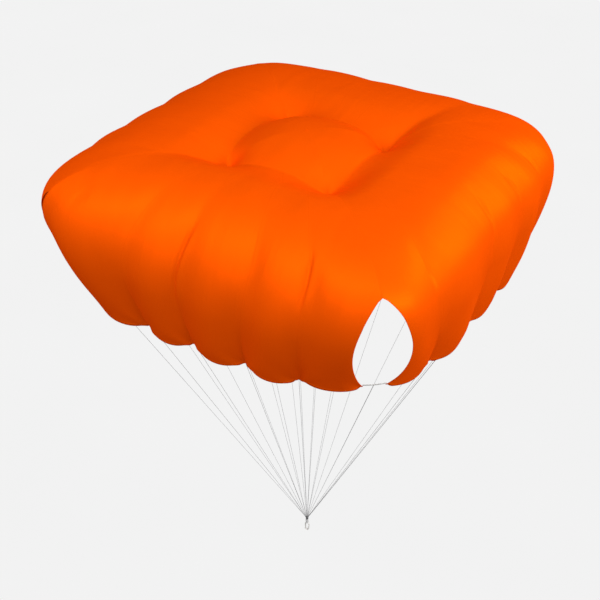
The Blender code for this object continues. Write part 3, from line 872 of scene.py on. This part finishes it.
def new_group(name, inputs, outputs):
    """An empty node group with its inner sockets. An input has its usual value, or None for a vector."""
    group = bpy.data.node_groups.new(name, "ShaderNodeTree")
    for socket, value in inputs.items():
        kind = "NodeSocketVector" if value is None else "NodeSocketFloat"
        made = group.interface.new_socket(name=socket, in_out="INPUT", socket_type=kind)
        if value is not None:
            made.default_value = value
    for socket in outputs:
        group.interface.new_socket(name=socket, in_out="OUTPUT", socket_type="NodeSocketFloat")
    return group, group.nodes.new("NodeGroupInput").outputs, group.nodes.new("NodeGroupOutput").inputs


def place_group(tree, group, **values):
    """A copy of the group in a material, with its inputs set or linked."""
    node = tree.nodes.new("ShaderNodeGroup")
    node.node_tree = group
    return fill(tree, node, **values)


# %% Thread pattern
thread_pattern, into, out_of = new_group(
    "thread_pattern", {"Vector": None, "Across pitch": 0.001, "Along pitch": 0.001, "Grid": 1.0,
                       "Grid width": 0.0001}, ["Height", "Grid mask"])
tree = thread_pattern
way = split_of(tree, into["Vector"])
waves = []
for axis, pitch in (("X", "Across pitch"), ("Y", "Along pitch")):
    turn = math_node(tree, "MULTIPLY", math_node(tree, "DIVIDE", way[axis], into[pitch]), 2 * pi)
    waves.append(math_node(tree, "SINE", turn))
weave_height = math_node(tree, "MULTIPLY_ADD", math_node(tree, "MULTIPLY", *waves), 0.5, 0.5)
half_grid = math_node(tree, "MULTIPLY", into["Grid"], 0.5)
to_line = math_node(tree, "MINIMUM", *[math_node(tree, "PINGPONG", way[axis], half_grid) for axis in "XY"])
line_share = math_node(tree, "DIVIDE", to_line, into["Grid width"])
grid_mask = math_node(tree, "SUBTRACT", 1.0, line_share, clamp=True)
tree.links.new(grid_mask, out_of["Grid mask"])
tree.links.new(math_node(tree, "MULTIPLY_ADD", grid_mask, 1.5, weave_height), out_of["Height"])

# %% Stitch rows
STITCH_GAP = 0.22            # the share of a row that lies between its stitches
STITCH_END = 6.0             # how sharply a stitch begins and ends

stitch_rows, into, out_of = new_group(
    "stitch_rows", {"Across": 0.0, "Along": 0.0, "Offset": 0.004, "Pitch": 0.004, "Thread": 0.0008}, ["Mask"])
tree = stitch_rows
past_row = math_node(tree, "SUBTRACT", math_node(tree, "ABSOLUTE", into["Across"]), into["Offset"])
row_share = math_node(tree, "DIVIDE", math_node(tree, "ABSOLUTE", past_row), into["Thread"])
on_row = math_node(tree, "SUBTRACT", 1.0, row_share, clamp=True)
half_pitch = math_node(tree, "MULTIPLY", into["Pitch"], 0.5)
step_in = math_node(tree, "DIVIDE", math_node(tree, "PINGPONG", into["Along"], half_pitch), half_pitch)
past_gap = math_node(tree, "SUBTRACT", step_in, STITCH_GAP)
on_stitch = math_node(tree, "MULTIPLY", past_gap, STITCH_END, clamp=True)
tree.links.new(math_node(tree, "MULTIPLY", on_row, on_stitch), out_of["Mask"])

# %% Mottle
mottle, into, out_of = new_group("mottle", {"Vector": None, "Scale": 5.0, "Low": 0.0, "High": 1.0}, ["Value"])
tree = mottle
cloud = add_node(tree, "TexNoise", Vector=into["Vector"], Scale=into["Scale"], Detail=3.0)
spread = add_node(tree, "MapRange", Value=cloud["Fac"], From_Min=0.3, From_Max=0.7,
                  To_Min=into["Low"], To_Max=into["High"])
tree.links.new(spread["Result"], out_of["Value"])

# %% Seam band
seam_band, into, out_of = new_group(
    "seam_band", {"Across": 0.0, "Half width": 0.007, "Edge": 0.002}, ["Mask"])
tree = seam_band
inside = math_node(tree, "SUBTRACT", into["Half width"], math_node(tree, "ABSOLUTE", into["Across"]))
tree.links.new(math_node(tree, "DIVIDE", inside, into["Edge"], clamp=True), out_of["Mask"])
print("shared effects:", [group.name for group in bpy.data.node_groups])

# %% [markdown]
# ## Canopy cloth
# The cloth is thin calendered nylon with a ripstop grid: every few millimetres a thicker thread stops a
# tear. Pressing has closed and polished its surface, so it has a soft satin shine in its own colour. A
# clear gloss would be white, like plastic, even with a tint. So a third of the shading is the metallic
# kind, which reflects in the base colour only. Seams and the hem have more layers, so they are a little
# deeper in colour and stand proud, with two rows of stitches.

# %% Canopy cloth
def new_material(name):
    material = bpy.data.materials.new(name)
    material.use_nodes = True
    tree = material.node_tree
    return material, tree, tree.nodes["Principled BSDF"]


def uv_of(tree, layer):
    node = tree.nodes.new("ShaderNodeUVMap")
    node.uv_map = layer
    return node.outputs["UV"]


def scaled(tree, vector, scale):
    return add_node(tree, "Mapping", Vector=vector, Scale=scale)["Vector"]


def tinted(tree, share, low, high):
    """A colour between two, by a share that changes over the surface."""
    node = tree.nodes.new("ShaderNodeMix")
    node.data_type = "RGBA"
    return fill(tree, node, Factor=share, A=low, B=high)["Result"]


def bumped(tree, shader, layers):
    """Joins heights, each given with its size in metres, into one Bump node for the shader."""
    total = 0.0
    for height, size in layers:
        total = math_node(tree, "MULTIPLY_ADD", height, size, total)
    bump = add_node(tree, "Bump", Height=total, Strength=1.0, Distance=1.0)
    tree.links.new(bump["Normal"], shader.inputs["Normal"])


ORANGE_DEEP = (0.53, 0.048, 0.0004, 1)
ORANGE = (0.77, 0.079, 0.0006, 1)
SHINE_TINT = (1.0, 0.14, 0.004, 1)
GLOSS_SHARE = 0.35
HEM_TOP = 0.026
HEM_TOP_EDGE = 0.002
YARN = 0.0009
RIPSTOP, RIPSTOP_WIDTH = 0.0055, 0.0004
STITCH, STITCH_THREAD = 0.0045, 0.0008

cloth, tree, shader = new_material("ripstop_nylon")
weave_uv = uv_of(tree, "weave")
sewing = split_of(tree, uv_of(tree, "seams"))
across_seam, above_hem = sewing["X"], sewing["Y"]
threads = place_group(tree, thread_pattern, Vector=weave_uv, Across_pitch=YARN, Along_pitch=YARN,
                      Grid=RIPSTOP, Grid_width=RIPSTOP_WIDTH)
broad = place_group(tree, mottle, Vector=weave_uv, Scale=1.6)["Value"]
fine = place_group(tree, mottle, Vector=weave_uv, Scale=60.0)["Value"]
drag = place_group(tree, mottle, Vector=scaled(tree, weave_uv, (5.0, 0.9, 1.0)), Scale=1.0)["Value"]
seam = place_group(tree, seam_band, Across=across_seam, Half_width=0.007, Edge=0.002)["Mask"]
seam_rows = place_group(tree, stitch_rows, Across=across_seam, Along=above_hem, Offset=0.0045,
                        Pitch=STITCH, Thread=STITCH_THREAD)["Mask"]
hem = math_node(tree, "DIVIDE", math_node(tree, "SUBTRACT", HEM_TOP, above_hem), HEM_TOP_EDGE, clamp=True)
hem_rows = place_group(tree, stitch_rows, Across=above_hem, Along=split_of(tree, weave_uv)["X"],
                       Offset=0.0215, Pitch=STITCH, Thread=STITCH_THREAD)["Mask"]
layered = math_node(tree, "MAXIMUM", seam, hem)
stitched = math_node(tree, "MAXIMUM", seam_rows, hem_rows)
deep = math_node(tree, "MULTIPLY_ADD", layered, -0.06, 0.90)
for patches, weight in ((broad, 0.12), (fine, 0.08)):
    deep = math_node(tree, "MULTIPLY_ADD", math_node(tree, "SUBTRACT", patches, 0.5), weight, deep)
deep = math_node(tree, "MULTIPLY_ADD", threads["Grid mask"], -0.10, deep)
deep = math_node(tree, "MULTIPLY_ADD", stitched, 0.25, deep, clamp=True)
satin = math_node(tree, "MULTIPLY_ADD", broad, 0.06, 0.47)
satin = math_node(tree, "MULTIPLY_ADD", layered, 0.10, satin)
fill(tree, shader, Base_Color=tinted(tree, deep, ORANGE_DEEP, ORANGE), Roughness=satin,
     Metallic=GLOSS_SHARE, Specular_Tint=SHINE_TINT, Specular_IOR_Level=0.0)
bumped(tree, shader, [(threads["Height"], 0.00003), (seam, 0.0002), (stitched, 0.0002), (drag, 0.004)])
canopy_mesh.materials.append(cloth)

# %% [markdown]
# ## Tape, braid, rubber and webbing
# The other finishes are small in the picture, but each is a real one. The tape and the webbing are woven
# from thick threads, the lines are braided, and the sleeve is matt rubber. The tape's pattern follows its
# own UV map. The lines and the riser read their own coordinates, where a diagonal one gives the braid.

# %% Tape
tape_finish, tree, shader = new_material("woven_tape")
tape_uv = uv_of(tree, "weave")
way = split_of(tree, tape_uv)
ribs = place_group(tree, thread_pattern, Vector=tape_uv, Across_pitch=0.0022, Along_pitch=0.0016)["Height"]
dust = place_group(tree, mottle, Vector=tape_uv, Scale=40.0, Low=0.55)["Value"]
sewn = place_group(tree, stitch_rows, Across=way["Y"], Along=way["X"], Offset=0.004, Pitch=0.004,
                   Thread=0.0008)["Mask"]
tone = math_node(tree, "MULTIPLY", ribs, dust, clamp=True)
fill(tree, shader, Base_Color=tinted(tree, tone, (0.55, 0.54, 0.52, 1), (0.82, 0.81, 0.79, 1)),
     Roughness=0.7)
bumped(tree, shader, [(ribs, 0.0002), (sewn, 0.0005)])
for tape in tapes:
    tape.data.materials.append(tape_finish)

# %% Braided lines
braid, tree, shader = new_material("braided_line")
own = add_node(tree, "TexCoord")["Object"]
turned = add_node(tree, "Mapping", Vector=own, Rotation=(0.0, radians(45), radians(45)))["Vector"]
strands = place_group(tree, thread_pattern, Vector=turned, Across_pitch=0.0016, Along_pitch=0.0016)["Height"]
wear = place_group(tree, mottle, Vector=own, Scale=9.0, Low=0.4)["Value"]
tone = math_node(tree, "MULTIPLY", strands, wear, clamp=True)
fill(tree, shader, Base_Color=tinted(tree, tone, (0.16, 0.16, 0.165, 1), (0.34, 0.34, 0.35, 1)),
     Roughness=0.6)
bumped(tree, shader, [(strands, 0.0003)])
for piece, _ in lines:
    piece.data.materials.append(braid)

# %% Rubber sleeve
rubber, tree, shader = new_material("moulded_rubber")
own = add_node(tree, "TexCoord")["Object"]
bloom = place_group(tree, mottle, Vector=own, Scale=120.0)["Value"]
scuffs = place_group(tree, mottle, Vector=scaled(tree, own, (1, 1, 6)), Scale=400.0)["Value"]
fill(tree, shader, Base_Color=tinted(tree, bloom, (0.52, 0.52, 0.52, 1), (0.64, 0.64, 0.64, 1)),
     Roughness=math_node(tree, "MULTIPLY_ADD", scuffs, 0.25, 0.5))
bumped(tree, shader, [(scuffs, 0.00005)])
sleeve.data.materials.append(rubber)

# %% Riser webbing
LAP_FACE = 0.0235            # past this X the webbing is the lap

webbing, tree, shader = new_material("loop_webbing")
own = add_node(tree, "TexCoord")["Object"]
way = split_of(tree, own)
unrolled = add_node(tree, "CombineXYZ", X=way["Y"], Y=math_node(tree, "ADD", way["Z"], way["X"]))["Vector"]
ribs = place_group(tree, thread_pattern, Vector=unrolled, Across_pitch=0.0030, Along_pitch=0.0020)["Height"]
dust = place_group(tree, mottle, Vector=own, Scale=150.0, Low=0.3)["Value"]
lap_rows = place_group(tree, stitch_rows, Across=way["Y"], Along=way["Z"], Offset=0.0085, Pitch=0.0036,
                       Thread=0.0007)["Mask"]
on_lap = math_node(tree, "MULTIPLY", math_node(tree, "SUBTRACT", way["X"], LAP_FACE), 2000.0, clamp=True)
thread = math_node(tree, "MULTIPLY", lap_rows, on_lap)
tone = math_node(tree, "MULTIPLY", ribs, dust, clamp=True)
woven = tinted(tree, tone, (0.60, 0.59, 0.57, 1), (0.78, 0.77, 0.75, 1))
fill(tree, shader, Base_Color=tinted(tree, thread, woven, (0.45, 0.45, 0.46, 1)), Roughness=0.75)
bumped(tree, shader, [(ribs, 0.0003), (thread, 0.0005)])
riser.data.materials.append(webbing)
print("finishes:", [material.name for material in bpy.data.materials])

# %% [markdown]
# ## Floor and light
# The photograph has a plain pale ground without a shadow. A white floor under soft light would show a wide
# one, so this floor glows evenly in its own pale grey and lights nothing. Eight softboxes stand around the
# canopy, four low and four higher. They make the shoulders shine and leave the skirt dark, and the even
# grey air fills the shade. Their strengths are round numbers of watts, strongest on the right.

# %% Floor
FLOOR_LEVEL = -0.004
bm = bmesh.new()
bmesh.ops.create_grid(bm, x_segments=2, y_segments=2, size=60)
bmesh.ops.translate(bm, vec=(0, 0, FLOOR_LEVEL), verts=bm.verts[:])
floor = mesh_piece("studio_floor", bm)
pale, tree, shader = new_material("pale_floor")
speckle = place_group(tree, mottle, Vector=add_node(tree, "TexCoord")["Object"], Scale=0.4)["Value"]
glow = tinted(tree, speckle, (0.884, 0.884, 0.884, 1), (0.892, 0.892, 0.892, 1))
fill(tree, shader, Emission_Color=glow, Emission_Strength=1.0, Base_Color=(0, 0, 0, 1), Roughness=1.0,
     Specular_IOR_Level=0.0)
floor.data.materials.append(pale)
floor.visible_diffuse = False
floor.visible_glossy = False

# %% Light
LIGHTS = (
    dict(name="front", turn=0.0, rise=0.50, power=200),
    dict(name="high", turn=0.5, rise=1.20, power=400),
    dict(name="front_left", turn=-0.3, rise=0.90, power=500),
    dict(name="left", turn=-0.8, rise=0.70, power=300),
    dict(name="front_right", turn=1.0, rise=0.50, power=450),
    dict(name="right", turn=1.5, rise=0.50, power=950),
    dict(name="far_right", turn=2.45, rise=0.50, power=900),
    dict(name="far_left", turn=-1.2, rise=1.05, power=100),
)
SOFTBOX_DISTANCE = 14.0
SOFTBOX_SIZE = 4.0
AIR_FILL = 0.42
SKY_GLOW = 0.888
for row in LIGHTS:
    lamp = bpy.data.lights.new(row["name"] + "_softbox", "AREA")
    lamp.size = SOFTBOX_SIZE
    lamp.energy = row["power"]
    look_at_aim(place(lamp.name, lamp), on_ball(row["turn"], row["rise"], SOFTBOX_DISTANCE))
world = bpy.data.worlds.new("studio_air")
world.use_nodes = True
air = world.node_tree
seen = add_node(air, "LightPath")["Is Camera Ray"]
fill(air, air.nodes["Background"], Color=(1, 1, 1, 1),
     Strength=math_node(air, "MULTIPLY_ADD", seen, SKY_GLOW - AIR_FILL, AIR_FILL))
bpy.context.scene.world = world
bpy.context.scene.view_settings.view_transform = "Standard"
print("softboxes:", [row["name"] for row in LIGHTS])
